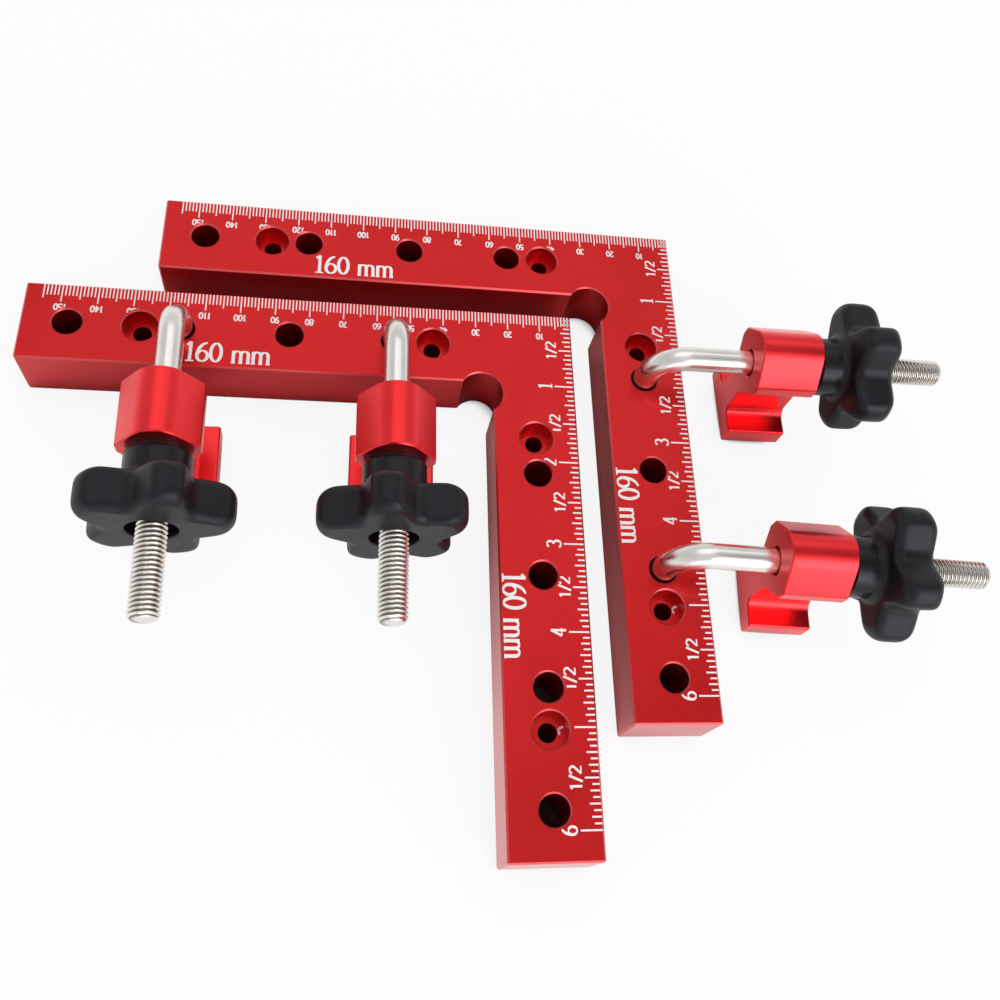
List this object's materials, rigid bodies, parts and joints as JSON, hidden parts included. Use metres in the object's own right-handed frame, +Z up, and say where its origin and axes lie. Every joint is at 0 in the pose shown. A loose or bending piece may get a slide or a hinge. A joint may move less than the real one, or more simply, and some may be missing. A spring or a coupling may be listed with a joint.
{
  "type": "corner clamp",
  "caption": "Corner clamp set: drilled L-shaped squares with hook clamps, each a bent rod with a sliding jaw tightened by a star knob, to hold boards at a right angle.",
  "frame": {"origin": "underside of the front square, where the hole lines of its two arms cross, 12.5 mm from both outer edges", "axes": "+X along the rear arms towards the outer corner, +Y along the side arms towards the outer corner, +Z up from the bench"},
  "size_m": [0.2735, 0.1935, 0.052],
  "materials": {
    "red_anodised": "satin red anodised",
    "bright_steel": "bright nickel",
    "washer_steel": "bright zinc",
    "black_plastic": "satin moulded",
    "insert_steel": "zinc plated"
  },
  "bodies": {
    "front_square": {"front_square": "red_anodised"},
    "back_square": {"back_square": "red_anodised"},
    "hook_front_left": {"hook_front_left": "bright_steel"},
    "washer_front_left": {"washer_front_left": "washer_steel"},
    "jaw_front_left": {"jaw_front_left": "red_anodised"},
    "knob_front_left": {"knob_front_left": "black_plastic", "insert_front_left": "insert_steel"},
    "hook_front_right": {"hook_front_right": "bright_steel"},
    "washer_front_right": {"washer_front_right": "washer_steel"},
    "jaw_front_right": {"jaw_front_right": "red_anodised"},
    "knob_front_right": {"knob_front_right": "black_plastic", "insert_front_right": "insert_steel"},
    "hook_side_far": {"hook_side_far": "bright_steel"},
    "washer_side_far": {"washer_side_far": "washer_steel"},
    "jaw_side_far": {"jaw_side_far": "red_anodised"},
    "knob_side_far": {"knob_side_far": "black_plastic", "insert_side_far": "insert_steel"},
    "hook_side_near": {"hook_side_near": "bright_steel"},
    "washer_side_near": {"washer_side_near": "washer_steel"},
    "jaw_side_near": {"jaw_side_near": "red_anodised"},
    "knob_side_near": {"knob_side_near": "black_plastic", "insert_side_near": "insert_steel"}
  },
  "joints": [
    {"name": "back_square_lift", "type": "slide", "parent": "front_square", "child": "back_square", "axis": [0, 0, 1], "range_m": [0, 0.08]},
    {"name": "hook_swivel_front_left", "type": "hinge", "parent": "front_square", "child": "hook_front_left", "pos_m": [-0.104, 0, 0], "axis": [0, 0, 1], "range_deg": [-15, 6]},
    {"name": "jaw_travel_front_left", "type": "slide", "parent": "hook_front_left", "child": "washer_front_left", "axis": [0.0244, -0.9997, 0], "range_m": [-0.009, 0.02]},
    {"name": "jaw_swing_front_left", "type": "hinge", "parent": "washer_front_left", "child": "jaw_front_left", "pos_m": [-0.104, 0, 0.031], "axis": [0.0244, -0.9997, 0], "range_deg": [-15, 15]},
    {"name": "knob_spin_front_left", "type": "hinge", "parent": "washer_front_left", "child": "knob_front_left", "pos_m": [-0.104, 0, 0.031], "axis": [0.0244, -0.9997, 0], "range_deg": [-2592, 5760]},
    {"name": "hook_swivel_front_right", "type": "hinge", "parent": "front_square", "child": "hook_front_right", "pos_m": [-0.042, 0, 0], "axis": [0, 0, 1], "range_deg": [-6, 8]},
    {"name": "jaw_travel_front_right", "type": "slide", "parent": "hook_front_right", "child": "washer_front_right", "axis": [0, -1, 0], "range_m": [-0.009, 0.02]},
    {"name": "jaw_swing_front_right", "type": "hinge", "parent": "washer_front_right", "child": "jaw_front_right", "pos_m": [-0.042, 0, 0.031], "axis": [0, -1, 0], "range_deg": [-15, 15]},
    {"name": "knob_spin_front_right", "type": "hinge", "parent": "washer_front_right", "child": "knob_front_right", "pos_m": [-0.042, 0, 0.031], "axis": [0, -1, 0], "range_deg": [-2592, 5760]},
    {"name": "hook_swivel_side_far", "type": "hinge", "parent": "back_square", "child": "hook_side_far", "pos_m": [0.035, -0.0085, 0], "axis": [0, 0, 1], "range_deg": [-6, 15]},
    {"name": "jaw_travel_side_far", "type": "slide", "parent": "hook_side_far", "child": "washer_side_far", "axis": [1, 0, 0], "range_m": [-0.009, 0.02]},
    {"name": "jaw_swing_side_far", "type": "hinge", "parent": "washer_side_far", "child": "jaw_side_far", "pos_m": [0.035, -0.0085, 0.031], "axis": [1, 0, 0], "range_deg": [-15, 15]},
    {"name": "knob_spin_side_far", "type": "hinge", "parent": "washer_side_far", "child": "knob_side_far", "pos_m": [0.035, -0.0085, 0.031], "axis": [1, 0, 0], "range_deg": [-2592, 5760]},
    {"name": "hook_swivel_side_near", "type": "hinge", "parent": "back_square", "child": "hook_side_near", "pos_m": [0.035, -0.0705, 0], "axis": [0, 0, 1], "range_deg": [-12, 9]},
    {"name": "jaw_travel_side_near", "type": "slide", "parent": "hook_side_near", "child": "washer_side_near", "axis": [0.9987, -0.0506, 0], "range_m": [-0.009, 0.02]},
    {"name": "jaw_swing_side_near", "type": "hinge", "parent": "washer_side_near", "child": "jaw_side_near", "pos_m": [0.035, -0.0705, 0.031], "axis": [0.9987, -0.0506, 0], "range_deg": [-15, 15]},
    {"name": "knob_spin_side_near", "type": "hinge", "parent": "washer_side_near", "child": "knob_side_near", "pos_m": [0.035, -0.0705, 0.031], "axis": [0.9987, -0.0506, 0], "range_deg": [-2592, 5760]}
  ],
  "couplings": [
    {"joint": "jaw_travel_front_left", "follows": "knob_spin_front_left", "m_per_rad": 0.00019894},
    {"joint": "jaw_travel_front_right", "follows": "knob_spin_front_right", "m_per_rad": 0.00019894},
    {"joint": "jaw_travel_side_far", "follows": "knob_spin_side_far", "m_per_rad": 0.00019894},
    {"joint": "jaw_travel_side_near", "follows": "knob_spin_side_near", "m_per_rad": 0.00019894}
  ]
}
